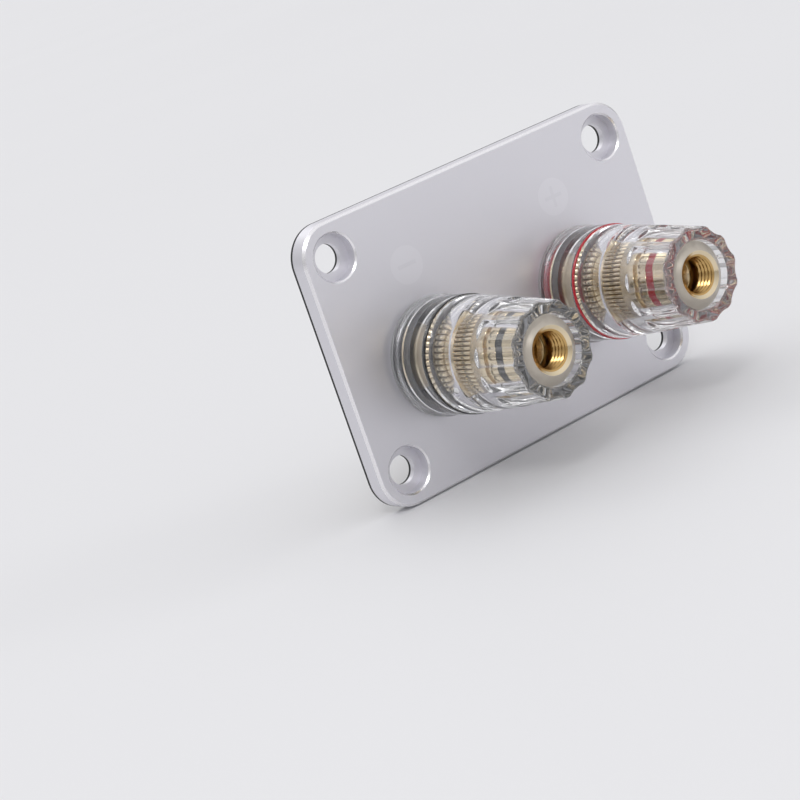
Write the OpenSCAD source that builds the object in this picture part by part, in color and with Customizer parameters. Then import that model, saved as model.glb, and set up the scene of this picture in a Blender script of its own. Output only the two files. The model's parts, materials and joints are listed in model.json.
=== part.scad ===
// Two-way binding post terminal plate.
// A blasted aluminium faceplate carries two clear-shelled, gold-plated 4 mm
// binding posts. The plate stands upright: X runs along its long side, Z is up,
// the knobs point towards -Y and the back sheet's rear face lies in Y = 0.
// Every post is built in its own frame, where Z is the distance in front of the
// faceplate and X is the radius of the turned profiles.

/* [Faceplate] */
// Width of the faceplate
plate_w = 65; // [60:1:90]
// Height of the faceplate
plate_h = 45; // [40:1:70]
// Thickness of the faceplate
plate_t = 3; // [2.5:0.25:5]
// Radius of the faceplate's corners
plate_corner_r = 5.5; // [3:0.5:8]
// Chamfer round the front edge of the faceplate
plate_chamfer = 0.4; // [0.2:0.1:1]
// Thickness of the insulating sheet on the back
sheet_t = 0.5; // [0.3:0.1:1.5]

/* [Faceplate screws] */
// Distance of each screw from the nearest two edges
screw_inset = 5.5; // [5:0.5:9]
// Diameter of the screw clearance holes
screw_d = 4.5; // [3:0.1:5]
// Diameter of the counterbore for the screw head
screw_head_d = 7.2; // [6.8:0.1:9]
// Depth of the counterbore
screw_head_depth = 2; // [1:0.1:2.2]
// Chamfer at the mouth of each counterbore
screw_chamfer = 0.25; // [0.1:0.05:0.5]

/* [Post layout] */
// Distance between the two post axes
post_pitch = 30; // [24:1:40]
// Distance of the post axes below the middle of the plate
post_drop = 3.3; // [0:0.1:6]

/* [Stud] */
// Thread diameter of the shank that passes through the plate
shank_d = 8; // [6.6:0.1:9.6]
// Diameter of the contact collar
collar_d = 11; // [10:0.1:13.2]
// Thread diameter of the spindle that carries the knob
spindle_d = 6; // [5:0.1:7.2]
// Length of the spindle in front of the collar
spindle_len = 14.4; // [12:0.1:17]
// Bore for a 4 mm banana plug
socket_d = 4; // [4:0.1:4.2]
// Depth of the banana plug bore
socket_depth = 18; // [14:0.5:22]
// Diameter of the cross hole for bare wire
wire_hole_d = 2.6; // [2:0.1:3.2]
// Chamfer at the ends of the threads
thread_chamfer = 0.4; // [0.2:0.1:0.6]
// Length of shank left standing behind the nut
shank_tail = 4.5; // [2:0.5:8]

/* [Solder cup] */
// Outside diameter of the solder cup
cup_d = 4.3; // [4:0.1:5]
// Length of the solder cup behind the shank
cup_len = 5.3; // [4:0.1:9]
// Bore of the solder cup
cup_bore_d = 3.1; // [2.4:0.1:3.4]
// How far the cup's bore runs on into the shank
cup_bore_run = 2.2; // [1:0.1:3]
// Length of closed tube left between the shank and the open trough
cup_neck = 0.9; // [0.5:0.1:2]

/* [Base] */
// Diameter of the clear base
base_d = 18; // [16:0.2:21.6]
// How far the flange at the foot stands out from the base
base_flange_step = 0.3; // [0.1:0.1:2]
// Thickness of that flange
base_flange_t = 1.6; // [1.4:0.1:2.4]
// Length of the base in front of the faceplate
base_len = 8.1; // [6.9:0.1:11]
// Clear floor under the contact collar
base_floor_t = 1.2; // [1:0.1:2]
// Clear wall left round the coloured ring in the foot of the base
foot_wall = 1; // [0.6:0.1:2]
// Radial width of that ring
foot_ring_w = 1; // [0.5:0.1:1.6]
// Thickness of that ring
foot_ring_t = 1.2; // [0.8:0.1:1.5]
// How far the collar's face lies below the rim of the base
collar_recess = 0.5; // [0.3:0.1:1]

/* [Knob shell] */
// Diameter of the tapered shell at its rear edge
knob_d = 17.8; // [16:0.2:22]
// Diameter of the shell where its front edge starts to round
knob_front_d = 14.6; // [14:0.2:17.6]
// Length of the smooth collar at the rear
knob_collar_len = 5.6; // [4:0.1:8]
// Depth of the groove that parts the collar from the fluted grip
collar_groove = 0.2; // [0.1:0.05:0.4]
// Overall length of the shell in front of the clamp ring
knob_len = 19.3; // [16:0.1:23]
// Clear wall between the insert and the outside
knob_wall = 2.3; // [1.5:0.1:2.8]
// Rounding of the shell's front edge
knob_round = 0.5; // [0.3:0.1:1.2]
// Number of grip flutes
flute_count = 12; // [8:1:16]
// Depth of each flute
flute_depth = 0.4; // [0.2:0.05:0.6]
// Radius of the cutter that makes a flute
flute_cutter_r = 4.5; // [2:0.25:6]

/* [Knob insert] */
// Diameter of the insert's rear boss and of its front flange
insert_d = 10.5; // [9:0.1:12]
// How far the grooves lie below the tapered body
groove_depth = 0.5; // [0.3:0.05:0.8]
// Length of the rear knurl
rear_knurl_len = 2; // [1.5:0.1:3.5]
// Length of the front knurl
front_knurl_len = 4.4; // [2:0.1:5]
// Width of the groove between the two knurls
knurl_gap = 2; // [0.8:0.1:3]
// Number of knurl teeth
knurl_teeth = 48; // [30:2:64]
// Depth of the knurl
knurl_depth = 0.3; // [0.15:0.05:0.4]
// Width of the locking groove in the sleeve
lock_groove_w = 0.9; // [0.5:0.1:1.5]
// Place of that groove along the sleeve, as a share of its length
lock_groove_share = 0.6; // [0.3:0.05:0.7]
// Thickness of the front flange of the insert
insert_face_t = 0.9; // [0.6:0.1:1.4]
// How far the front face lies inside the mouth of the shell
face_recess = 0.9; // [0.4:0.1:1.5]
// Lead-in chamfer at the mouth of the insert
lead_in = 0.35; // [0.1:0.05:0.6]

/* [Colour rings] */
// Width of the coloured band seen through the grip
band_w = 1.5; // [1:0.1:2]
// Distance from the insert's front face to the coloured band
band_back = 3.1; // [2:0.1:4]
// Thickness of the clamp ring between base and knob
clamp_ring_t = 0.3; // [0.3:0.1:1]
// Radial width of that ring
clamp_ring_w = 0.7; // [0.5:0.1:1.5]

/* [Rear hardware] */
// Diameter of the plate's post holes
post_hole_d = 11; // [9.6:0.1:13.2]
// Diameter of the coloured shoulder washer
shoulder_d = 14.8; // [13:0.2:17]
// Thickness of its head
shoulder_t = 2; // [1.5:0.1:3]
// Length of the spigots that line the post hole
spigot_len = 1.5; // [0.8:0.1:1.6]
// Diameter of the flat washer
flat_washer_d = 11.8; // [11:0.2:14]
// Thickness of the flat washer
flat_washer_t = 0.8; // [0.5:0.1:1.5]
// Wall of the nut at its flats
nut_wall = 1; // [0.8:0.1:3]
// Thickness of the nut
nut_t = 3.2; // [2:0.1:5]

/* [Fits] */
// Radial running clearance of the knob on the spindle
thread_clear = 0.05; // [0.02:0.01:0.08]
// Radial running clearance of the clamp ring on the shell's rear spigot
ring_clear = 0.08; // [0.03:0.01:0.1]
// Gap between the closed knob and the fixed parts
seat_gap = 0.1; // [0.05:0.05:0.3]
// Gap round pieces that are pushed or moulded together
push_gap = 0.02; // [0.01:0.01:0.05]
// Air gap between the insert's tapered body and the shell
air_gap = 0.05; // [0.03:0.01:0.1]

/* [Hidden] */
$fn = 96;
EPS = 0.01;

BLACK_SIDE = -1;
RED_SIDE = 1;
GOLD = [0.86, 0.70, 0.36];
CLEAR = [0.85, 0.88, 0.90, 0.35];
BLACK = [0.05, 0.05, 0.06];
RED = [0.78, 0.05, 0.10];

// Heights along a post, in front of the faceplate's front face
back_z = -(plate_t + sheet_t);
collar_z = foot_ring_t + base_floor_t;
collar_face_z = base_len - collar_recess;
spindle_end_z = collar_face_z + spindle_len;
wire_hole_z = collar_face_z + collar_recess + wire_hole_d / 2 + 0.2;
insert_z = collar_face_z + seat_gap;
ring_z = base_len + seat_gap;
shell_z = ring_z + clamp_ring_t + seat_gap;
knob_end_z = shell_z + knob_len;
grip_z = shell_z + knob_collar_len;
face_z = knob_end_z - face_recess;
rear_knurl_z = shell_z;
front_knurl_z = rear_knurl_z + rear_knurl_len + knurl_gap;
sleeve_z = front_knurl_z + front_knurl_len;
band_z = face_z - band_back - band_w;
lock_groove_z = sleeve_z + lock_groove_share * (band_z - sleeve_z) - lock_groove_w / 2;

// Heights behind the faceplate
shoulder_z = back_z - shoulder_t;
flat_washer_z = shoulder_z - flat_washer_t;
nut_z = flat_washer_z - nut_t;
shank_end_z = nut_z - shank_tail;
cup_end_z = shank_end_z - cup_len;

// Radii that follow from the fits
flange_r = base_d / 2 + base_flange_step;
foot_seat_r = flange_r - foot_wall;
foot_ring_r = foot_seat_r - push_gap - foot_ring_w;
boss_r = insert_d / 2;
clamp_ring_r = base_d / 2 - clamp_ring_w;
insert_bore_r = spindle_d / 2 + thread_clear;
shank_bore_r = shank_d / 2 + push_gap;
collar_seat_r = collar_d / 2 + push_gap;
base_mouth_r = max(collar_seat_r, boss_r + seat_gap);
shell_bore_r = boss_r + push_gap;
shell_taper = (knob_d - knob_front_d) / 2 / (knob_len - knob_round);
spigot_r = post_hole_d / 2 - push_gap;

// Radius of the shell, and of the metal inside it, at a height along the knob
function shell_r(z) = knob_d / 2 - shell_taper * (z - shell_z);
function core_r(z) = shell_r(z) - knob_wall;

// Points of a quarter turn from angle a0, for rounded profile corners
function arc(r, z, radius, a0, steps = 6) =
    [for (i = [0 : steps]) let (a = a0 + 90 * i / steps) [r + radius * cos(a), z + radius * sin(a)]];

// Puts a piece built in the post frame on one side of the plate
module at_post(side)
    translate([side * post_pitch / 2, back_z, -post_drop]) rotate([90, 0, 0]) children();

// A turned ring with chamfered outer edges
module ring(r_in, r_out, z0, z1, chamfer = 0)
    rotate_extrude()
        polygon([[r_in, z0], [r_out - chamfer, z0], [r_out, z0 + chamfer],
                 [r_out, z1 - chamfer], [r_out - chamfer, z1], [r_in, z1]]);

module at_screws()
    for (x = [-1, 1], z = [-1, 1])
        translate([x * (plate_w / 2 - screw_inset), 0, z * (plate_h / 2 - screw_inset)])
            rotate([90, 0, 0]) children();

// The plate's outline between two depths behind its front face, with a chamfer at the front
module plate_body(y0, y1, chamfer) {
    section = function (half) [[-half, y1], [half, y1], [half, y0 + chamfer], [half - chamfer, y0],
                               [chamfer - half, y0], [-half, y0 + chamfer]];
    span_x = plate_w / 2 - plate_corner_r;
    span_z = plate_h / 2 - plate_corner_r;
    linear_extrude(2 * span_z, center = true) polygon(section(plate_w / 2));
    rotate([0, 90, 0]) linear_extrude(2 * span_x, center = true) polygon(section(plate_h / 2));
    for (x = [-1, 1], z = [-1, 1])
        translate([x * span_x, y1, z * span_z]) rotate([90, 0, 0])
            rotate_extrude()
                polygon([[0, 0], [plate_corner_r, 0], [plate_corner_r, y1 - y0 - chamfer],
                         [plate_corner_r - chamfer, y1 - y0], [0, y1 - y0]]);
}

// ---- Plate ----

module faceplate()
    color([0.80, 0.81, 0.83])
    difference() {
        plate_body(back_z, -sheet_t, plate_chamfer);
        at_screws() screw_hole();
        for (side = [BLACK_SIDE, RED_SIDE])
            at_post(side) translate([0, 0, back_z - 1]) cylinder(d = post_hole_d, h = plate_t + sheet_t + 2);
    }

// Counterbored screw hole, in a frame whose Z = -back_z is the plate's front face
module screw_hole() {
    front = -back_z;
    rotate_extrude()
        polygon([[0, -1], [screw_d / 2, -1], [screw_d / 2, front - screw_head_depth],
                 [screw_head_d / 2, front - screw_head_depth],
                 [screw_head_d / 2, front - screw_chamfer],
                 [screw_head_d / 2 + screw_chamfer, front],
                 [screw_head_d / 2 + screw_chamfer, front + 1], [0, front + 1]]);
}

module back_sheet()
    color(BLACK)
    difference() {
        plate_body(-sheet_t, 0, 0);
        at_screws() translate([0, 0, -1]) cylinder(d = screw_d, h = sheet_t + 2);
        for (side = [BLACK_SIDE, RED_SIDE])
            at_post(side) translate([0, 0, back_z - 1]) cylinder(d = post_hole_d, h = sheet_t + 2);
    }

// ---- Fixed parts of a post ----

// Coloured ring in the foot of the clear base
module foot_ring()
    ring(foot_ring_r, foot_seat_r - push_gap, 0, foot_ring_t);

// Clear cup round the contact collar: a spigot lines the post hole, a groove holds the foot ring
module base() {
    wall_r = base_d / 2;
    round_r = 0.4;
    rotate_extrude()
        polygon(concat(
            [[shank_bore_r, -spigot_len], [spigot_r, -spigot_len], [spigot_r, 0],
             [foot_ring_r - push_gap, 0], [foot_ring_r - push_gap, foot_ring_t + push_gap],
             [foot_seat_r, foot_ring_t + push_gap], [foot_seat_r, 0],
             [flange_r - 0.1, 0], [flange_r, 0.1]],
            arc(flange_r - round_r, base_flange_t - round_r, round_r, 0),
            [[wall_r, base_flange_t + 0.2]],
            arc(wall_r - round_r / 2, base_len - round_r / 2, round_r / 2, 0),
            [[base_mouth_r + 0.2, base_len], [base_mouth_r, base_len - 0.2]],
            base_mouth_r > collar_seat_r
                ? [[base_mouth_r, collar_face_z], [collar_seat_r, collar_face_z]] : [],
            [[collar_seat_r, collar_z], [shank_bore_r, collar_z]]));
}

// Turned brass stud: spindle with banana bore, collar, threaded shank and solder cup
module stud()
    difference() {
        union() {
            rotate_extrude() polygon(stud_profile());
            // Tube of the solder cup
            translate([0, 0, cup_end_z]) cylinder(d = cup_d, h = cup_len + EPS);
        }
        // Banana plug bore with its drill point
        rotate_extrude()
            polygon([[0, spindle_end_z + 1], [socket_d / 2 + 0.3, spindle_end_z + 1],
                     [socket_d / 2 + 0.3, spindle_end_z], [socket_d / 2, spindle_end_z - 0.3],
                     [socket_d / 2, spindle_end_z - socket_depth],
                     [0, spindle_end_z - socket_depth - socket_d / 3]]);
        // Cross hole for bare wire
        translate([0, 0, wire_hole_z]) rotate([90, 0, 0]) cylinder(d = wire_hole_d, h = spindle_d + 2, center = true);
        // Bore of the solder cup, and the upper half of its tube cut away
        translate([0, 0, cup_end_z - 1]) cylinder(d = cup_bore_d, h = cup_len + cup_bore_run + 1);
        cup_trough();
    }

function stud_profile() =
    let (shank_r = shank_d / 2, spindle_r = spindle_d / 2, collar_r = collar_d / 2, c = thread_chamfer)
    [[0, shank_end_z], [shank_r - c, shank_end_z], [shank_r, shank_end_z + c], [shank_r, collar_z],
     [collar_r, collar_z], [collar_r, collar_face_z - 0.2], [collar_r - 0.2, collar_face_z],
     [spindle_r, collar_face_z], [spindle_r, spindle_end_z - c], [spindle_r - c, spindle_end_z],
     [0, spindle_end_z]];

// Space above the solder cup's axis, sloping up to the neck at its inner end
module cup_trough() {
    reach = cup_d;
    neck_z = shank_end_z - cup_neck;
    translate([-reach, 0, 0]) rotate([90, 0, 90])
        linear_extrude(2 * reach)
            polygon([[0, cup_end_z - 1], [reach, cup_end_z - 1], [reach, neck_z], [cup_d / 2, neck_z],
                     [0, neck_z - cup_d / 4]]);
}

// Coloured shoulder washer behind the plate: a grooved head and a spigot
module shoulder_washer() {
    r = shoulder_d / 2;
    round_r = 0.45;
    groove = 0.25;
    mid_z = shoulder_z + shoulder_t / 2;
    rotate_extrude()
        polygon(concat(
            [[shank_bore_r, shoulder_z]],
            arc(r - round_r, shoulder_z + round_r, round_r, -90),
            [[r, mid_z - groove], [r - groove, mid_z], [r, mid_z + groove]],
            arc(r - round_r, back_z - round_r, round_r, 0),
            [[spigot_r, back_z], [spigot_r, back_z + spigot_len], [shank_bore_r, back_z + spigot_len]]));
}

module flat_washer()
    ring(shank_bore_r, flat_washer_d / 2, flat_washer_z, shoulder_z, 0.15);

// Hexagon nut: a turned blank with chamfered faces and bore, cut to a hexagon
module nut() {
    flat_r = shank_d / 2 + nut_wall;
    corner_r = flat_r / cos(30);
    face_r = flat_r - 0.2;
    slope = (corner_r - face_r) * tan(30);
    mouth = 0.3;
    blank_r = corner_r + 1;
    blank_slope = slope + tan(30);
    intersection() {
        translate([0, 0, nut_z - 1]) rotate([0, 0, 15]) cylinder(r = corner_r, h = nut_t + 2, $fn = 6);
        rotate_extrude()
            polygon([[shank_bore_r + mouth, nut_z], [face_r, nut_z], [blank_r, nut_z + blank_slope],
                     [blank_r, flat_washer_z - blank_slope], [face_r, flat_washer_z],
                     [shank_bore_r + mouth, flat_washer_z], [shank_bore_r, flat_washer_z - mouth],
                     [shank_bore_r, nut_z + mouth]]);
    }
}

// ---- Moving parts of a post ----

// Thin coloured ring that rides on the shell's rear spigot without turning
module clamp_ring() {
    r_out = base_d / 2;
    lip = clamp_ring_t / 2;
    rotate_extrude()
        polygon([[clamp_ring_r + lip, ring_z], [r_out - 0.05, ring_z], [r_out, ring_z + 0.05],
                 [r_out, ring_z + clamp_ring_t - 0.05], [r_out - 0.05, ring_z + clamp_ring_t],
                 [clamp_ring_r, ring_z + clamp_ring_t], [clamp_ring_r, ring_z + lip]]);
}

// Threaded brass insert: a tapered body with two knurls, two grooves and a front flange
module knob_insert()
    difference() {
        union() {
            rotate_extrude() polygon(insert_profile());
            knurl(rear_knurl_z, rear_knurl_len);
            knurl(front_knurl_z, front_knurl_len);
        }
        translate([0, 0, insert_z - 1]) cylinder(r = insert_bore_r, h = knob_len + 4);
        translate([0, 0, face_z - lead_in])
            cylinder(r1 = insert_bore_r, r2 = insert_bore_r + lead_in + EPS, h = lead_in + EPS);
    }

// Outline of the insert without its knurl teeth
function insert_profile() =
    let (rear_r = knurl_r(rear_knurl_z, rear_knurl_len) - knurl_depth - EPS,
         front_r = knurl_r(front_knurl_z, front_knurl_len) - knurl_depth - EPS,
         neck_r = front_r - 0.1,
         flange_z = face_z - insert_face_t)
    concat(
        [[0, insert_z], [boss_r, insert_z], [boss_r, ring_z], [rear_r, ring_z],
         [rear_r, rear_knurl_z + rear_knurl_len], [neck_r, rear_knurl_z + rear_knurl_len],
         [neck_r, front_knurl_z], [front_r, front_knurl_z], [front_r, sleeve_z], [core_r(sleeve_z), sleeve_z]],
        insert_groove(lock_groove_z, lock_groove_w),
        insert_groove(band_z, band_w),
        [[core_r(flange_z), flange_z], [boss_r, flange_z], [boss_r, face_z], [0, face_z]]);

// Square groove in the tapered sleeve
function insert_groove(z, width) =
    let (end_z = z + width, bottom_r = groove_r(z, width))
    [[core_r(z), z], [bottom_r, z], [bottom_r, end_z], [core_r(end_z), end_z]];

function groove_r(z, width) = core_r(z + width) - groove_depth;

// Outer radius of a knurl, a little below the tapered body at its thin end
function knurl_r(z, length) = core_r(z + length) - push_gap;

// Straight knurl: a toothed ring between two heights
module knurl(z, length) {
    tip_r = knurl_r(z, length);
    translate([0, 0, z])
        linear_extrude(length)
            polygon([for (i = [0 : 2 * knurl_teeth - 1])
                let (r = tip_r - (i % 2) * knurl_depth, a = 180 * i / knurl_teeth) [r * cos(a), r * sin(a)]]);
}

// Coloured band that sits in the front groove of the insert
module knob_band()
    ring(groove_r(band_z, band_w) + push_gap, core_r(band_z + band_w), band_z + push_gap, band_z + band_w - push_gap);

// Clear moulded shell: smooth rear collar, fluted grip, and a spigot that carries the clamp ring
module knob_shell()
    difference() {
        rotate_extrude() polygon(shell_profile());
        for (i = [0 : flute_count - 1]) rotate([0, 0, (i + 0.5) * 360 / flute_count]) flute();
    }

function shell_profile() =
    let (front_r = knob_front_d / 2, c = 0.25, mouth = 0.3,
         round_r = min(knob_round, front_r - shell_bore_r - mouth - 0.2),
         spigot_end_r = clamp_ring_r - ring_clear, lip = clamp_ring_t / 2,
         bore_z = shell_z + (core_r(shell_z) + air_gap - shell_bore_r) / shell_taper)
    concat(
        [[core_r(ring_z) + air_gap, ring_z], [spigot_end_r + lip, ring_z], [spigot_end_r, ring_z + lip],
         [spigot_end_r, shell_z], [shell_r(shell_z) - c, shell_z], [shell_r(shell_z + c), shell_z + c],
         [shell_r(grip_z - collar_groove), grip_z - collar_groove], [shell_r(grip_z) - collar_groove, grip_z],
         [shell_r(grip_z + collar_groove), grip_z + collar_groove]],
        arc(front_r - round_r, knob_end_z - round_r, round_r, 0),
        [[shell_bore_r + mouth, knob_end_z], [shell_bore_r, knob_end_z - mouth], [shell_bore_r, bore_z]]);

// Round cutter laid along the taper of the grip
module flute() {
    start_z = grip_z + 3 * collar_groove;
    translate([shell_r(start_z) + flute_cutter_r - flute_depth, 0, start_z])
        rotate([0, -atan(shell_taper), 0]) cylinder(r = flute_cutter_r, h = knob_len);
}

// ---- Nodes ----

module black_foot_ring() color(BLACK) at_post(BLACK_SIDE) foot_ring();
module black_base() color(CLEAR) at_post(BLACK_SIDE) base();
module black_stud() color(GOLD) at_post(BLACK_SIDE) stud();
module black_shoulder_washer() color(BLACK) at_post(BLACK_SIDE) shoulder_washer();
module black_flat_washer() color(GOLD) at_post(BLACK_SIDE) flat_washer();
module black_nut() color(GOLD) at_post(BLACK_SIDE) nut();
module black_clamp_ring() color(BLACK) at_post(BLACK_SIDE) clamp_ring();
module black_knob_insert() color(GOLD) at_post(BLACK_SIDE) knob_insert();
module black_knob_band() color(BLACK) at_post(BLACK_SIDE) knob_band();
module black_knob_shell() color(CLEAR) at_post(BLACK_SIDE) knob_shell();

module red_foot_ring() color(RED) at_post(RED_SIDE) foot_ring();
module red_base() color(CLEAR) at_post(RED_SIDE) base();
module red_stud() color(GOLD) at_post(RED_SIDE) stud();
module red_shoulder_washer() color(RED) at_post(RED_SIDE) shoulder_washer();
module red_flat_washer() color(GOLD) at_post(RED_SIDE) flat_washer();
module red_nut() color(GOLD) at_post(RED_SIDE) nut();
module red_clamp_ring() color(RED) at_post(RED_SIDE) clamp_ring();
module red_knob_insert() color(GOLD) at_post(RED_SIDE) knob_insert();
module red_knob_band() color(RED) at_post(RED_SIDE) knob_band();
module red_knob_shell() color(CLEAR) at_post(RED_SIDE) knob_shell();

faceplate();
back_sheet();
black_foot_ring();
black_base();
black_stud();
black_shoulder_washer();
black_flat_washer();
black_nut();
black_clamp_ring();
black_knob_insert();
black_knob_band();
black_knob_shell();
red_foot_ring();
red_base();
red_stud();
red_shoulder_washer();
red_flat_washer();
red_nut();
red_clamp_ring();
red_knob_insert();
red_knob_band();
red_knob_shell();
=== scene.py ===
import json
import math

import bmesh
import bpy
from mathutils import Matrix, Vector


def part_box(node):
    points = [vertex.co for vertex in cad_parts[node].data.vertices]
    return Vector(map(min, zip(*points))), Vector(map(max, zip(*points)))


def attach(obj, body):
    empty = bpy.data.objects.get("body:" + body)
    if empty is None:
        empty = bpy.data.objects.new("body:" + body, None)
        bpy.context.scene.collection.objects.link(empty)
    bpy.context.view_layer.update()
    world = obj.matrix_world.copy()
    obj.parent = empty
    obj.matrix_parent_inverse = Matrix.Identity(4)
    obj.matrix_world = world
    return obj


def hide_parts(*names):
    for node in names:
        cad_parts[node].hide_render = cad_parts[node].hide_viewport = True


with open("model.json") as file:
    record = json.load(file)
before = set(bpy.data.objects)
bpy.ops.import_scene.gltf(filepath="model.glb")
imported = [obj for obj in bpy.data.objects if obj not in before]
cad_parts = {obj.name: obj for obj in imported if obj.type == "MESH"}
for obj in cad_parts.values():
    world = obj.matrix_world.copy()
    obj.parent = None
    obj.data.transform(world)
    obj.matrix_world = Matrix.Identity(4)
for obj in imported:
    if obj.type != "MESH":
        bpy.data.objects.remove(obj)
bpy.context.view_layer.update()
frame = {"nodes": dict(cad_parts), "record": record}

MM = 0.001
SCENE = bpy.context.scene

# ---- Camera ----

# Place in metres and directions in the shared frame, fitted to the plate's edges and the posts' circles
CAM_PLACE = Vector((-0.21569, -0.30790, 0.06931))
CAM_RIGHT = Vector((0.76312, -0.55986, -0.32283)).normalized()
CAM_FORWARD = Vector((0.52034, 0.82853, -0.20685)).normalized()
CAM_LENS_MM = 110.7
SENSOR_MM = 36.0


def make_camera():
    data = bpy.data.cameras.new("photo_camera")
    data.sensor_width = SENSOR_MM
    data.lens = CAM_LENS_MM
    data.clip_start = 0.02
    data.clip_end = 100.0
    cam = bpy.data.objects.new("photo_camera", data)
    SCENE.collection.objects.link(cam)
    up = CAM_RIGHT.cross(CAM_FORWARD).normalized()
    right = CAM_FORWARD.cross(up).normalized()
    axes = Matrix((right, up, -CAM_FORWARD)).transposed()
    cam.matrix_world = Matrix.Translation(CAM_PLACE) @ axes.to_4x4()
    SCENE.camera = cam


make_camera()
SCENE.view_settings.view_transform = "Standard"
# Light runs down the clear walls in many inner reflections before it comes out again
SCENE.cycles.max_bounces = 32
SCENE.cycles.glossy_bounces = 24
SCENE.cycles.transmission_bounces = 24

# ---- Post frame in mm: z is the height in front of the faceplate, x and y run along the frame's X and Z ----

SIDES = ("black", "red")
BOXES = {node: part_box(node) for node in frame["nodes"]}
PLATE_LO = BOXES["faceplate"][0]
FACE_Y = PLATE_LO.y
AXES = {side: (BOXES[side + "_base"][0] + BOXES[side + "_base"][1]) / 2 for side in SIDES}


def place(side, x, y, z):
    """Point in the shared frame, in metres, from a point in one post's frame."""
    return (AXES[side].x + x * MM, FACE_Y - z * MM, AXES[side].z + y * MM)


# ---- Sizes of the pieces in mm: radii, and heights along each post ----

# Most are the CAD model's. The colour ring, the front knurl's teeth, the cone and its hub, the start of
# the flutes and the threads differ from it, because they follow the photo more closely.
BASE_R, FLANGE_R, FLANGE_T, BASE_END = 9.0, 9.3, 1.6, 8.1
RING_OUT_R, RING_IN_R, RING_Z, RING_END = 8.28, 7.7, 0.5, 2.2
SHANK_R, COLLAR_R, COLLAR_Z, COLLAR_FACE = 4.0, 5.5, 2.4, 7.6
PLATE_SPIGOT_R, PLATE_SPIGOT_Z = 5.48, -1.5
SPINDLE_R, SPINDLE_END, PITCH = 3.0, 22.0, 0.75
SOCKET_R, SOCKET_END, WIRE_R, WIRE_Z = 2.0, 4.0, 1.3, 9.6
SHANK_THREAD_END, SHANK_END = -3.6, -14.0
CUP_END, CUP_R, CUP_BORE_R, CUP_BORE_END = -19.3, 2.15, 1.55, -11.8
BORE_R, BOSS_R, CLAMP_IN_R = 3.05, 5.25, 8.3
Z_BOSS, Z_RING, Z_SHELL, Z_REAR_END = 7.7, 8.2, 8.6, 10.6
Z_FRONT, Z_SLEEVE, Z_LOCK, Z_LOCK_END = 12.6, 17.0, 19.79, 20.69
Z_BAND, Z_BAND_END, Z_FLANGE = 22.4, 23.9, 26.1
GRIP_Z, END_Z = 14.2, 27.9
SHELL_R, FRONT_R, ROUND_R, WALL = 8.9, 7.3, 0.5, 2.3
TAPER = (SHELL_R - FRONT_R) / (END_Z - ROUND_R - Z_SHELL)
REAR_TEETH, FRONT_TEETH, TOOTH, GROOVE = 48, 60, 0.3, 0.5
FLUTES, FLUTE_R, FLUTE_DEPTH = 12, 4.5, 0.4
HUB_R, HUB_Z, HUB_ROUND_R, CONE_Z, SINK = 3.65, 27.6, 0.12, 26.25, 0.6
GRIP_START, GRIP_FULL = 19.5, 20.1
THREAD_MINOR_R, THREAD_END = 2.78, 23.7
# Room between fixed pieces, air around the gold body, and room for the knob to turn in its clamp ring
GAP, AIR, RING_CLEAR = 0.02, 0.05, 0.08
# Chamfers on thin and on stout edges
THIN_EDGE, EDGE = 0.08, 0.2
SOCKET_CHAMFER_W, SOCKET_CHAMFER_T = 0.6, 0.55
# The cup's open half starts this far behind the shank and slopes down to the axis over the next length
NECK_BACK, NECK_RUN = 0.9, 1.08


def cone(z):
    """Outer radius of the knob's clear shell at a height."""
    return SHELL_R - TAPER * (z - Z_SHELL)


def core(z):
    """Outer radius of the knob's gold body at a height."""
    return cone(z) - WALL


# ---- Mesh tools ----

SHARP_DEG = 35
MERGE_M = 1e-7


def make_object(name, verts, faces, mat):
    """Object with a clean, closed mesh and its material."""
    mesh = bpy.data.meshes.new(name)
    mesh.from_pydata(verts, [], faces)
    bm = bmesh.new()
    bm.from_mesh(mesh)
    bmesh.ops.remove_doubles(bm, verts=bm.verts, dist=MERGE_M)
    bmesh.ops.recalc_face_normals(bm, faces=bm.faces)
    bm.to_mesh(mesh)
    bm.free()
    obj = bpy.data.objects.new(name, mesh)
    SCENE.collection.objects.link(obj)
    obj.data.materials.append(mat)
    smooth(obj)
    return obj


def smooth(obj):
    obj.data.shade_smooth()
    obj.data.set_sharp_from_angle(angle=math.radians(SHARP_DEG))


def turn(name, side, rows, count, mat, closed=True):
    """Mesh revolved around a post's axis. rows is a list of (radius, height), where the radius is a number
    or a function of the angle. closed joins the last row to the first, otherwise each end is capped."""
    verts, faces = [], []
    for radius, height in rows:
        for i in range(count):
            a = 2 * math.pi * i / count
            r = radius(a) if callable(radius) else radius
            verts.append(place(side, r * math.cos(a), r * math.sin(a), height))
    total = len(rows)
    last = total if closed else total - 1
    for j in range(last):
        k = (j + 1) % total
        for i in range(count):
            n = (i + 1) % count
            faces.append((j * count + i, j * count + n, k * count + n, k * count + i))
    if not closed:
        for j in (0, total - 1):
            radius, height = rows[j]
            if radius <= 0:
                continue
            centre = len(verts)
            verts.append(place(side, 0, 0, height))
            for i in range(count):
                faces.append((j * count + i, j * count + (i + 1) % count, centre))
    return make_object(name, verts, faces, mat)


# A thread's root takes this share of half its pitch, and its flank rises over the next share
THREAD_ROOT, THREAD_RISE = 0.12, 0.74


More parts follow.
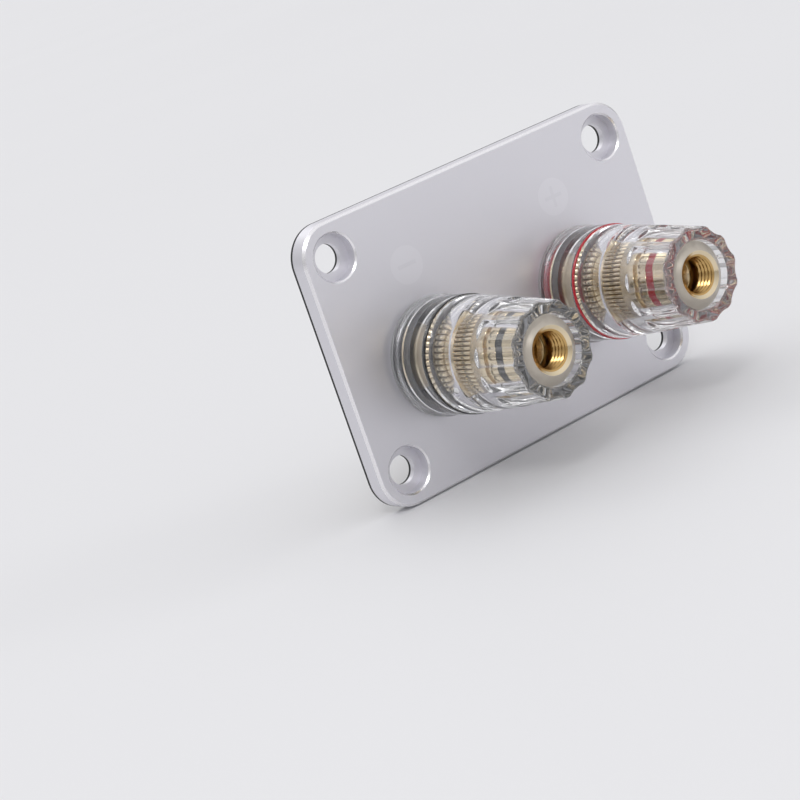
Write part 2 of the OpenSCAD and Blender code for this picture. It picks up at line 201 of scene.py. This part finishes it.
def thread_rows(z0, z1, r_root, r_crest, per_turn, fade):
    """Rows of a screw thread between two heights, so many to a turn. Within the fade of each end, in mm,
    its depth falls to nothing."""
    rows = []
    steps = max(2, round(abs(z1 - z0) / PITCH * per_turn))
    for j in range(steps + 1):
        z = z0 + (z1 - z0) * j / steps
        ends = min(abs(z - z0), abs(z1 - z)) / fade
        depth = (r_crest - r_root) * min(1.0, ends)

        def radius(a, z=z, depth=depth):
            t = (z / PITCH - a / (2 * math.pi)) % 1.0
            tri = 1 - abs(2 * t - 1)
            return r_root + depth * min(1.0, max(0.0, (tri - THREAD_ROOT) / THREAD_RISE))

        rows.append((radius, z))
    return rows


# ---- Materials ----

def new_material(name, base, metallic, roughness, **sockets):
    mat = bpy.data.materials.new(name)
    mat.use_nodes = True
    shader = mat.node_tree.nodes["Principled BSDF"]
    shader.inputs["Base Color"].default_value = (*base, 1)
    shader.inputs["Metallic"].default_value = metallic
    shader.inputs["Roughness"].default_value = roughness
    for key, value in sockets.items():
        shader.inputs[key.replace("_", " ")].default_value = value
    return mat


class Nodes:
    """Short hand for one material's node tree."""

    def __init__(self, mat):
        self.tree = mat.node_tree
        self.shader = self.tree.nodes["Principled BSDF"]

    def add(self, kind):
        return self.tree.nodes.new("ShaderNode" + kind)

    def link(self, a, b):
        self.tree.links.new(a, b)

    def math(self, op, a, b=0.0):
        """Result of one operation on two values, each a socket or a number."""
        node = self.add("Math")
        node.operation = op
        for socket, value in zip(node.inputs, (a, b)):
            if isinstance(value, (int, float)):
                socket.default_value = value
            else:
                self.link(value, socket)
        return node.outputs[0]

    def coords(self):
        return self.add("TexCoord").outputs["Object"]

    def split(self, vector):
        node = self.add("SeparateXYZ")
        self.link(vector, node.inputs["Vector"])
        return node.outputs

    def product(self, a, b):
        return self.math("MULTIPLY", a, b)

    def either(self, a, b):
        """The larger of two masks, or b where there is no a yet."""
        return b if a is None else self.math("MAXIMUM", a, b)

    def length(self, a, b):
        return self.math("SQRT", self.math("ADD", self.product(a, a), self.product(b, b)))

    def noise(self, vector, scale, detail=2.0, roughness=0.5):
        node = self.add("TexNoise")
        node.inputs["Scale"].default_value = scale
        node.inputs["Detail"].default_value = detail
        node.inputs["Roughness"].default_value = roughness
        self.link(vector, node.inputs["Vector"])
        return node.outputs["Fac"]

    def remap(self, value, lo, hi, src_lo=0.0, src_hi=1.0):
        node = self.add("MapRange")
        node.inputs["From Min"].default_value = src_lo
        node.inputs["From Max"].default_value = src_hi
        node.inputs["To Min"].default_value = lo
        node.inputs["To Max"].default_value = hi
        self.link(value, node.inputs["Value"])
        return node.outputs["Result"]

    def mix_color(self, factor, a, b):
        """Colour between a and b, each a tuple or a socket, by a factor that is a socket or a number."""
        node = self.add("Mix")
        node.data_type = "RGBA"
        if isinstance(factor, (int, float)):
            node.inputs["Factor"].default_value = factor
        else:
            self.link(factor, node.inputs["Factor"])
        for key, value in (("A", a), ("B", b)):
            socket = [s for s in node.inputs if s.name == key and s.type == "RGBA"][0]
            if isinstance(value, tuple):
                socket.default_value = (*value, 1)
            else:
                self.link(value, socket)
        return [s for s in node.outputs if s.type == "RGBA"][0]

    def bump(self, height, strength, distance):
        node = self.add("Bump")
        node.inputs["Strength"].default_value = strength
        node.inputs["Distance"].default_value = distance
        self.link(height, node.inputs["Height"])
        return node.outputs["Normal"]

    def drive(self, **sockets):
        """Link values to the shader's inputs, whose names have _ for each space here."""
        for key, value in sockets.items():
            self.link(value, self.shader.inputs[key.replace("_", " ")])


PLATE_COLOR = (0.77, 0.76, 0.80)
CLOUD_COLORS = (0.75, 0.74, 0.78), (0.79, 0.78, 0.82)
FLECK_COLORS = (0.70, 0.69, 0.73), (0.84, 0.83, 0.87)
FLECK_SHARE = 0.45
MARK_COLOR = (0.80, 0.79, 0.83)
CHAMFER_COLOR = (0.88, 0.87, 0.89)
# A face whose normal has this much of the frame's Y is a chamfer or a countersink
CHAMFER_Y_MIN, CHAMFER_Y_MAX = 0.3, 0.95
MARK_X, MARK_Z, MARK_R = 15.0, 11.5, 2.95
MARK_SHIFT = -0.5
SIGN_HALF_LEN, SIGN_HALF_WIDTH = 1.7, 0.3


def aluminium():
    """Bead-blasted plate: fine grain, faint clouds, brighter and smoother chamfers, two pale round marks."""
    mat = new_material("blasted_aluminium", PLATE_COLOR, 0.85, 0.46)
    n = Nodes(mat)
    v = n.coords()
    grain = n.noise(v, 5200, 2.0, 0.6)
    cloud = n.noise(v, 60, 2.0)
    ny = n.math("ABSOLUTE", n.split(n.add("TexCoord").outputs["Normal"])["Y"])
    chamfer = n.product(n.math("GREATER_THAN", ny, CHAMFER_Y_MIN), n.math("LESS_THAN", ny, CHAMFER_Y_MAX))
    pos = n.split(v)
    front = n.math("LESS_THAN", pos["Y"], FACE_Y + 0.1 * MM)
    marks = n.product(mark_mask(n, pos), front)
    color = n.mix_color(n.remap(cloud, 0.3, 0.7), *CLOUD_COLORS)
    fleck = n.mix_color(n.remap(grain, 0.35, 0.65), *FLECK_COLORS)
    color = n.mix_color(FLECK_SHARE, color, fleck)
    color = n.mix_color(marks, color, MARK_COLOR)
    color = n.mix_color(chamfer, color, CHAMFER_COLOR)
    rough = n.math("SUBTRACT", n.remap(grain, 0.40, 0.54), n.product(chamfer, 0.22))
    n.drive(Base_Color=color, Roughness=rough, Normal=n.bump(grain, 0.35, 0.00002))
    return mat


def mark_mask(n, pos):
    """A plain disc above each post, with a minus or a plus left out of it."""
    total = None
    for sign in (-1, 1):
        dx = n.math("SUBTRACT", pos["X"], (sign * MARK_X + MARK_SHIFT) * MM)
        dz = n.math("SUBTRACT", pos["Z"], MARK_Z * MM)
        disc = n.math("LESS_THAN", n.length(dx, dz), MARK_R * MM)
        ax, az = n.math("ABSOLUTE", dx), n.math("ABSOLUTE", dz)
        bar = sign_bar(n, ax, az)
        if sign > 0:
            bar = n.either(bar, sign_bar(n, az, ax))
        one = n.product(disc, n.math("SUBTRACT", 1.0, bar))
        total = n.either(total, one)
    return total


def sign_bar(n, along, across):
    """One bar of a plus or minus, from the distances along and across it."""
    inside = n.math("LESS_THAN", along, SIGN_HALF_LEN * MM)
    return n.product(inside, n.math("LESS_THAN", across, SIGN_HALF_WIDTH * MM))


def sheet_material():
    """Thin insulating sheet: near black, satin, with a fine tooth."""
    mat = new_material("black_sheet", (0.013, 0.013, 0.015), 0.0, 0.55, Specular_IOR_Level=0.4)
    n = Nodes(mat)
    v = n.coords()
    fine = n.noise(v, 2600, 3.0, 0.6)
    broad = n.noise(v, 45, 2.0)
    color = n.mix_color(broad, (0.010, 0.010, 0.012), (0.019, 0.019, 0.021))
    n.drive(Base_Color=color, Roughness=n.remap(fine, 0.48, 0.66), Normal=n.bump(fine, 0.4, 0.00003))
    return mat


def post_coords(n):
    """Distance from the nearer post's axis and height in front of the faceplate, both in mm."""
    pos = n.split(n.coords())
    dx = n.math("SUBTRACT", n.math("ABSOLUTE", pos["X"]), AXES["red"].x)
    dz = n.math("SUBTRACT", pos["Z"], AXES["red"].z)
    height = n.math("SUBTRACT", FACE_Y, pos["Y"])
    return n.math("DIVIDE", n.length(dx, dz), MM), n.math("DIVIDE", height, MM)


def both(n, height, z0, z1, r, r0, r1):
    """1 where the height and the distance from the axis both lie in their range."""
    total = 1.0
    for value, lo, hi in ((height, z0, z1), (r, r0, r1)):
        total = n.product(total, n.math("GREATER_THAN", value, lo))
        total = n.product(total, n.math("LESS_THAN", value, hi))
    return total


PALE_GOLD = (0.74, 0.62, 0.42), (0.80, 0.69, 0.50)
DEEP_GOLD = (0.79, 0.60, 0.31), (0.85, 0.68, 0.39)
# Painted shade: dark brown laid into the knurls' valleys, deepest at their floors
VALLEY_SHADE_COLOR = (0.30, 0.20, 0.09)
# Painted shade: darker, deeper brass laid into the threaded bore at the knob's mouth
BORE_SHADE_COLOR = (0.58, 0.38, 0.15)
SATIN_COLOR = (0.54, 0.49, 0.42)


def gold():
    """Plated brass: pale in front, deeper behind the plate, satin on the knob's end, with painted shade in
    its bore and in its knurls' valleys.
    """
    mat = new_material("gold_plate", (0.80, 0.68, 0.48), 1.0, 0.16)
    n = Nodes(mat)
    r, height = post_coords(n)
    joined = n.add("CombineXYZ")
    n.link(r, joined.inputs["X"])
    n.link(height, joined.inputs["Y"])
    lines = n.noise(joined.outputs["Vector"], 9, 2.0, 0.7)
    cloud = n.noise(n.coords(), 300, 2.0)
    face = both(n, height, CONE_Z - 0.1, HUB_Z, r, HUB_R - 0.02, BOSS_R + 1)
    # Where the threaded bore gets painted shade
    bore = both(n, height, SPINDLE_END + 0.15, HUB_Z, r, 0, BORE_R + 0.02)
    collar = both(n, height, COLLAR_Z - 0.1, COLLAR_FACE, r, COLLAR_R - 0.2, BOSS_R + 1)
    # Where the knurls' valleys get painted shade, most at their floors
    valleys = None
    for top, za, zb in ((core(Z_REAR_END), Z_SHELL, Z_REAR_END), (core(Z_SLEEVE), Z_FRONT, Z_SLEEVE)):
        depth = n.remap(r, 1.0, 0.0, top - TOOTH - GAP, top - GAP)
        zone = both(n, height, za, zb, r, top - TOOTH - 0.05, top)
        valleys = n.either(valleys, n.product(depth, zone))
    in_front = n.math("GREATER_THAN", height, 0.0)
    color = n.mix_color(in_front, n.mix_color(cloud, *DEEP_GOLD), n.mix_color(cloud, *PALE_GOLD))
    # The valleys and the bore are darkened with painted shade; the face gets its satin colour
    for mask, tint in ((valleys, VALLEY_SHADE_COLOR), (bore, BORE_SHADE_COLOR), (face, SATIN_COLOR)):
        color = n.mix_color(mask, color, tint)
    metal = n.math("SUBTRACT", 1.0, n.product(face, 0.55))
    rough = n.remap(lines, 0.10, 0.22)
    for mask, more in ((face, 0.26), (bore, 0.08), (collar, 0.16), (valleys, 0.2)):
        rough = n.math("ADD", rough, n.product(mask, more))
    n.drive(Base_Color=color, Metallic=metal, Roughness=rough, Normal=n.bump(lines, 0.25, 0.000006))
    return mat


def clear_plastic():
    """Polished acrylic; the bore and the foot of each base are left as turned, so they look frosted."""
    mat = new_material("clear_plastic", (0.955, 0.96, 0.97), 0.0, 0.02, IOR=1.49, Transmission_Weight=1.0)
    n = Nodes(mat)
    v = n.coords()
    flow = n.noise(v, 140, 2.0)
    haze = n.noise(v, 900, 2.0)
    r, height = post_coords(n)
    near_axis = n.math("LESS_THAN", r, SHANK_R + 0.1)
    under_collar = n.math("LESS_THAN", height, COLLAR_Z + 0.1)
    frost = n.either(n.product(near_axis, under_collar), n.math("LESS_THAN", height, 0.1))
    rough = n.math("ADD", n.remap(haze, 0.008, 0.035), n.product(frost, 0.35))
    clear = n.math("SUBTRACT", 1.0, n.product(frost, 0.6))
    n.drive(Roughness=rough, Transmission_Weight=clear, Normal=n.bump(flow, 0.12, 0.0001))
    return mat


def glossy_plastic(name, base, dark):
    """Coloured moulding, mottled between two close tones."""
    mat = new_material(name, base, 0.0, 0.2, Coat_Weight=0.3, Coat_Roughness=0.08)
    n = Nodes(mat)
    v = n.coords()
    broad = n.noise(v, 220, 2.0)
    fine = n.noise(v, 2400, 2.0)
    color = n.mix_color(broad, dark, base)
    n.drive(Base_Color=color, Roughness=n.remap(fine, 0.16, 0.28), Normal=n.bump(fine, 0.12, 0.00001))
    return mat


MATERIALS = {
    "blasted_aluminium": aluminium(),
    "black_sheet": sheet_material(),
    "gold_plated_brass": gold(),
    "clear_plastic": clear_plastic(),
    "black_plastic": glossy_plastic("black_plastic", (0.016, 0.016, 0.018), (0.010, 0.010, 0.011)),
    "red_plastic": glossy_plastic("red_plastic", (0.62, 0.012, 0.03), (0.50, 0.008, 0.02)),
}

SLOT_OF = {part["node"]: part["material_slot"] for part in frame["record"]["subparts"]}
for node, obj in frame["nodes"].items():
    slot_mat = MATERIALS[SLOT_OF[node]]
    if not obj.data.materials:
        obj.data.materials.append(slot_mat)
    for i in range(len(obj.material_slots)):
        obj.material_slots[i].material = slot_mat

# ---- Pieces ----

# Columns of vertices around each turned piece; those with teeth or flutes have a whole number for each
BASE_COLUMNS, RING_COLUMNS, STUD_COLUMNS, SHELL_COLUMNS = 192, 160, 96, 288
INSERT_COLUMNS = FRONT_TEETH * 8
# Length of the tools that cut the stud, which reach right through it
CUTTER_LEN = 8


def finish_piece(obj, body, node):
    """Attach a new piece to its body and hide the CAD node that it replaces."""
    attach(obj, body)
    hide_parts(node)


def corner(r, z, radius, steps):
    """Points of an outer quarter round about (r, z), from its side to its top."""
    angles = [math.radians(90 * i / steps) for i in range(steps + 1)]
    return [(r + radius * math.cos(a), z + radius * math.sin(a)) for a in angles]


def make_base(side):
    """Clear cup: a spigot in the plate, a groove for the coloured ring and a seat for the collar."""
    points = [(SHANK_R + GAP, PLATE_SPIGOT_Z), (PLATE_SPIGOT_R - 0.1, PLATE_SPIGOT_Z),
              (PLATE_SPIGOT_R, PLATE_SPIGOT_Z + 0.1), (PLATE_SPIGOT_R, GAP), (RING_IN_R - GAP, GAP),
              (RING_IN_R - GAP, RING_END + GAP), (RING_OUT_R + GAP, RING_END + GAP), (RING_OUT_R + GAP, GAP),
              (FLANGE_R - 0.15, GAP), (FLANGE_R, 0.15)]
    points += [(FLANGE_R, FLANGE_T - 0.4), (FLANGE_R - 0.04, FLANGE_T - 0.2), (BASE_R + 0.04, FLANGE_T + 0.4),
               (BASE_R, FLANGE_T + 0.6), (BASE_R, 4.5)]
    points += corner(BASE_R - EDGE, BASE_END - EDGE, EDGE, steps=5)
    points += [(COLLAR_R + GAP + EDGE, BASE_END), (COLLAR_R + GAP, BASE_END - EDGE),
               (COLLAR_R + GAP, COLLAR_Z + GAP), (SHANK_R + GAP, COLLAR_Z + GAP)]
    obj = turn(side + "_clear_base", side, points, BASE_COLUMNS, MATERIALS["clear_plastic"])
    finish_piece(obj, "panel", side + "_base")


def make_foot_ring(side):
    """Coloured ring at the top of the groove in the base's foot."""
    rows = [(RING_IN_R, RING_Z + THIN_EDGE), (RING_IN_R + THIN_EDGE, RING_Z),
            (RING_OUT_R - THIN_EDGE, RING_Z), (RING_OUT_R, RING_Z + THIN_EDGE),
            (RING_OUT_R, RING_END - THIN_EDGE), (RING_OUT_R - THIN_EDGE, RING_END),
            (RING_IN_R + THIN_EDGE, RING_END), (RING_IN_R, RING_END - THIN_EDGE)]
    slot = side + "_plastic"
    obj = turn(side + "_colour_ring", side, rows, RING_COLUMNS, MATERIALS[slot])
    finish_piece(obj, "panel", side + "_foot_ring")


def make_stud(side):
    """One turned stud: threaded spindle with its socket, collar, threaded shank and open solder cup."""
    rows = [(0, CUP_BORE_END), (CUP_BORE_R, CUP_BORE_END), (CUP_BORE_R, CUP_END + THIN_EDGE),
            (CUP_BORE_R + THIN_EDGE, CUP_END), (CUP_R - THIN_EDGE, CUP_END), (CUP_R, CUP_END + THIN_EDGE),
            (CUP_R, SHANK_END), (SHANK_R - 0.42, SHANK_END)]
    rows += thread_rows(SHANK_END + 0.1, SHANK_THREAD_END, SHANK_R - 0.4, SHANK_R, per_turn=10, fade=0.35)
    rows += [(SHANK_R, SHANK_THREAD_END + 0.2), (SHANK_R, COLLAR_Z), (COLLAR_R - 0.1, COLLAR_Z),
             (COLLAR_R, COLLAR_Z + 0.1), (COLLAR_R, COLLAR_FACE - EDGE), (COLLAR_R - EDGE, COLLAR_FACE),
             (SPINDLE_R - 0.1, COLLAR_FACE)]
    root, crest = SPINDLE_R - 0.38, SPINDLE_R - 0.01
    rows += thread_rows(COLLAR_FACE + 0.1, SPINDLE_END - 0.1, root, crest, per_turn=10, fade=0.4)
    rows += [(SPINDLE_R - 0.25, SPINDLE_END), (SOCKET_R + SOCKET_CHAMFER_W, SPINDLE_END),
             (SOCKET_R, SPINDLE_END - SOCKET_CHAMFER_T), (SOCKET_R, SOCKET_END), (0, SOCKET_END - 1.33)]
    obj = turn(side + "_gold_stud", side, rows, STUD_COLUMNS, MATERIALS["gold_plated_brass"], closed=False)
    hole = cylinder_cutter(place(side, 0, 0, WIRE_Z), WIRE_R * MM, CUTTER_LEN * MM)
    neck = SHANK_END - NECK_BACK
    outline = [(0, CUP_END - 1), (CUP_R * 2, CUP_END - 1), (CUP_R * 2, neck), (CUP_R, neck),
               (0, neck - NECK_RUN)]
    trough = prism_cutter(side, outline)
    cut(obj, [hole, trough])
    smooth(obj)
    finish_piece(obj, "panel", side + "_stud")


def cylinder_cutter(centre, radius, height):
    bm = bmesh.new()
    bmesh.ops.create_cone(bm, cap_ends=True, segments=64, radius1=radius, radius2=radius, depth=height)
    return cutter_object(bm, Matrix.Translation(centre))


def prism_cutter(side, outline):
    """Prism across the post from an outline of (distance above the axis, height along it) in mm."""
    bm = bmesh.new()
    ends = [[bm.verts.new(place(side, x, y, z)) for y, z in outline]
            for x in (-CUTTER_LEN / 2, CUTTER_LEN / 2)]
    bm.faces.new(ends[0])
    bm.faces.new(reversed(ends[1]))
    for i in range(len(outline)):
        k = (i + 1) % len(outline)
        bm.faces.new((ends[0][i], ends[1][i], ends[1][k], ends[0][k]))
    bmesh.ops.recalc_face_normals(bm, faces=bm.faces)
    return cutter_object(bm, Matrix.Identity(4))


def cutter_object(bm, matrix):
    mesh = bpy.data.meshes.new("cutter")
    bm.to_mesh(mesh)
    bm.free()
    obj = bpy.data.objects.new("cutter", mesh)
    obj.matrix_world = matrix
    SCENE.collection.objects.link(obj)
    return obj


def cut(obj, cutters):
    """Cut the tools out of a piece and delete them."""
    for cutter in cutters:
        mod = obj.modifiers.new("cut", "BOOLEAN")
        mod.operation = "DIFFERENCE"
        mod.solver = "EXACT"
        mod.object = cutter
    shown = obj.evaluated_get(bpy.context.evaluated_depsgraph_get())
    mesh = bpy.data.meshes.new_from_object(shown)
    obj.modifiers.clear()
    obj.data = mesh
    for cutter in cutters:
        bpy.data.objects.remove(cutter)


def knurled(r, teeth):
    """Radius at an angle of straight teeth with rounded tops and narrow valleys."""
    def radius(a):
        t = (a * teeth / (2 * math.pi)) % 1.0
        return r - TOOTH * abs(2 * t - 1) ** 3
    return radius


def make_insert(side):
    """Gold body of the knob: two knurls, a locking groove, the band's groove and a threaded mouth."""
    rear, front = core(Z_REAR_END) - GAP, core(Z_SLEEVE) - GAP
    neck = front - TOOTH - 0.1
    rows = [(BORE_R, Z_BOSS + 0.2), (BORE_R + 0.2, Z_BOSS), (BOSS_R - 0.15, Z_BOSS), (BOSS_R, Z_BOSS + 0.15),
            (BOSS_R, Z_RING), (rear - TOOTH - 0.1, Z_RING), (rear - TOOTH, Z_RING + 0.1)]
    rows += knurl_rows(rear, REAR_TEETH, Z_SHELL, Z_REAR_END)
    rows += [(neck, Z_REAR_END + 0.08), (neck, Z_FRONT - 0.08)]
    rows += knurl_rows(front, FRONT_TEETH, Z_FRONT, Z_SLEEVE)
    rows += [(core(Z_SLEEVE) - 0.04, Z_SLEEVE + 0.02), (core(Z_SLEEVE), Z_SLEEVE + 0.1)]
    for za, zb in ((Z_LOCK, Z_LOCK_END), (Z_BAND, Z_BAND_END)):
        floor_r = core(zb) - GROOVE
        rows += [(core(za), za - 0.04), (core(za) - 0.04, za), (floor_r, za), (floor_r, zb),
                 (core(zb) - 0.04, zb), (core(zb), zb + 0.04)]
    rows += [(core(Z_FLANGE), Z_FLANGE), (BOSS_R, Z_FLANGE + 0.04), (BOSS_R, CONE_Z - 0.05),
             (BOSS_R - 0.05, CONE_Z)]
    rows += corner(HUB_R - 0.02, HUB_Z - HUB_ROUND_R, HUB_ROUND_R, steps=4)
    mouth = HUB_Z - SINK
    rows += [(THREAD_MINOR_R, mouth), (THREAD_MINOR_R, mouth - 0.05)]
    rows += thread_rows(mouth - 0.05, THREAD_END, THREAD_MINOR_R, BORE_R, per_turn=16, fade=0.3)
    rows += [(BORE_R + 0.05, THREAD_END - 0.1), (BORE_R + 0.05, SPINDLE_END), (BORE_R, SPINDLE_END - 0.1)]
    obj = turn(side + "_gold_insert", side, rows, INSERT_COLUMNS, MATERIALS["gold_plated_brass"])
    finish_piece(obj, side + "_knob", side + "_knob_insert")


def knurl_rows(r, teeth, za, zb):
    """Rows of a knurl between two heights, with its teeth rounded off at both ends."""
    return [(r - TOOTH, za), (knurled(r - 0.08, teeth), za + 0.12), (knurled(r, teeth), za + 0.3),
            (knurled(r, teeth), zb - 0.3), (knurled(r - 0.08, teeth), zb - 0.12), (r - TOOTH, zb)]


def fluted(r, depth):
    """Radius of the grip at an angle, where round flutes are cut into a circle of radius r."""
    far = r + FLUTE_R - depth

    def radius(a):
        pitch = 2 * math.pi / FLUTES
        off = (a % pitch) - pitch / 2
        inside = FLUTE_R ** 2 - (far * math.sin(off)) ** 2
        if inside <= 0:
            return r
        return min(r, far * math.cos(off) - math.sqrt(inside))

    return radius


def spaced(z0, z1, count):
    """Evenly spaced heights after z0, up to and with z1."""
    return [z0 + (z1 - z0) * j / count for j in range(1, count + 1)]


def make_shell(side):
    """Clear knob shell: smooth collar, parting groove, fluted grip and a bore that follows the gold."""
    lip = 0.15
    spigot = CLAMP_IN_R - RING_CLEAR
    round_z = END_Z - ROUND_R
    groove_r = cone(GRIP_Z)
    rows = [(core(Z_RING) + AIR, Z_RING), (spigot + lip, Z_RING), (spigot, Z_RING + lip), (spigot, Z_SHELL),
            (SHELL_R - 0.25, Z_SHELL), (SHELL_R - 0.08, Z_SHELL + 0.07)]
    rows += [(cone(z), z) for z in (Z_SHELL + 0.25, Z_SHELL + 2.5, GRIP_Z - 0.3)]
    rows += [(groove_r - 0.04, GRIP_Z - 0.2), (groove_r - 0.2, GRIP_Z), (groove_r - 0.04, GRIP_Z + 0.2)]
    heights = spaced(GRIP_Z + 0.3, GRIP_START, 6)
    heights += spaced(GRIP_START, GRIP_FULL, 8)
    heights += spaced(GRIP_FULL, round_z, 16)
    for z in heights:
        share = min(1.0, max(0.0, (z - GRIP_START) / (GRIP_FULL - GRIP_START)))
        share = share * share * (3 - 2 * share)
        rows.append((fluted(cone(z), FLUTE_DEPTH * share), z))
    front_round = corner(FRONT_R - ROUND_R, round_z, ROUND_R, steps=8)
    rows += [(fluted(r, FLUTE_DEPTH), z) for r, z in front_round[1:]]
    bore_r = BOSS_R + GAP
    rows += [(bore_r + 0.3, END_Z), (bore_r + 0.2, END_Z - 0.04), (bore_r, END_Z - 0.3)]
    rows += [(bore_r, Z_SHELL + (core(Z_SHELL) + AIR - bore_r) / TAPER)]
    obj = turn(side + "_clear_shell", side, rows, SHELL_COLUMNS, MATERIALS["clear_plastic"])
    finish_piece(obj, side + "_knob", side + "_knob_shell")


for side in SIDES:
    make_base(side)
    make_foot_ring(side)
    make_stud(side)
    make_insert(side)
    make_shell(side)

# ---- Floor, lamps and world ----

# The floor lies just under the plate's lower edge
FLOOR_Z = PLATE_LO.z - 0.2 * MM
FLOOR_R, FLOOR_SIDES = 30.0, 64
HORIZON_LIGHT = (0.40, 0.40, 0.41)
OVERHEAD_LIGHT = (1.0, 1.0, 1.02)
# Sine of the angle above the horizon where the light is fully pale
OVERHEAD_FROM = 0.75
WORLD_STRENGTH = 0.93
BACKDROP_COLOR = (0.74, 0.74, 0.75)


def make_floor():
    """A wide pale disc."""
    verts = [(0, 0, FLOOR_Z)]
    for i in range(FLOOR_SIDES):
        a = 2 * math.pi * i / FLOOR_SIDES
        verts.append((FLOOR_R * math.cos(a), FLOOR_R * math.sin(a), FLOOR_Z))
    faces = [(0, i + 1, (i + 1) % FLOOR_SIDES + 1) for i in range(FLOOR_SIDES)]
    mesh = bpy.data.meshes.new("floor")
    mesh.from_pydata(verts, [], faces)
    obj = bpy.data.objects.new("floor", mesh)
    SCENE.collection.objects.link(obj)
    mat = new_material("pale_floor", (0.80, 0.80, 0.81), 0.0, 0.5, Specular_IOR_Level=0.2)
    n = Nodes(mat)
    cloud = n.noise(n.coords(), 3, 2.0)
    n.drive(Base_Color=n.mix_color(cloud, (0.79, 0.79, 0.80), (0.81, 0.81, 0.82)))
    obj.data.materials.append(mat)


def sun(name, toward, strength, angle_deg):
    """A far, soft lamp seen in the direction toward; it lights the whole floor evenly."""
    data = bpy.data.lights.new(name, "SUN")
    data.energy = strength
    data.angle = math.radians(angle_deg)
    obj = bpy.data.objects.new(name, data)
    SCENE.collection.objects.link(obj)
    obj.rotation_euler = Vector(toward).to_track_quat("Z", "Y").to_euler()


def make_world():
    """Even studio light: paler overhead than near the floor, with the plain backdrop for the camera."""
    world = bpy.data.worlds.new("studio")
    SCENE.world = world
    world.use_nodes = True
    nodes, links = world.node_tree.nodes, world.node_tree.links
    nodes.clear()
    out = nodes.new("ShaderNodeOutputWorld")
    light = nodes.new("ShaderNodeBackground")
    back = nodes.new("ShaderNodeBackground")
    mix = nodes.new("ShaderNodeMixShader")
    path = nodes.new("ShaderNodeLightPath")
    coord = nodes.new("ShaderNodeTexCoord")
    split = nodes.new("ShaderNodeSeparateXYZ")
    ramp = nodes.new("ShaderNodeValToRGB")
    links.new(coord.outputs["Generated"], split.inputs["Vector"])
    links.new(split.outputs["Z"], ramp.inputs["Fac"])
    stops = ((0.0, HORIZON_LIGHT), (OVERHEAD_FROM, OVERHEAD_LIGHT))
    for stop, (position, color) in zip(ramp.color_ramp.elements, stops):
        stop.position = position
        stop.color = (*color, 1)
    links.new(ramp.outputs["Color"], light.inputs["Color"])
    light.inputs["Strength"].default_value = WORLD_STRENGTH
    back.inputs["Color"].default_value = (*BACKDROP_COLOR, 1)
    back.inputs["Strength"].default_value = 1.0
    links.new(path.outputs["Is Camera Ray"], mix.inputs["Fac"])
    links.new(light.outputs["Background"], mix.inputs[1])
    links.new(back.outputs["Background"], mix.inputs[2])
    links.new(mix.outputs["Shader"], out.inputs["Surface"])


make_floor()
make_world()
sun("key_lamp", (-0.45, -0.60, 0.80), 0.45, 16)
sun("side_lamp", (0.80, -0.70, 0.35), 0.25, 18)
sun("back_lamp", (0.10, 0.70, 0.75), 0.25, 30)
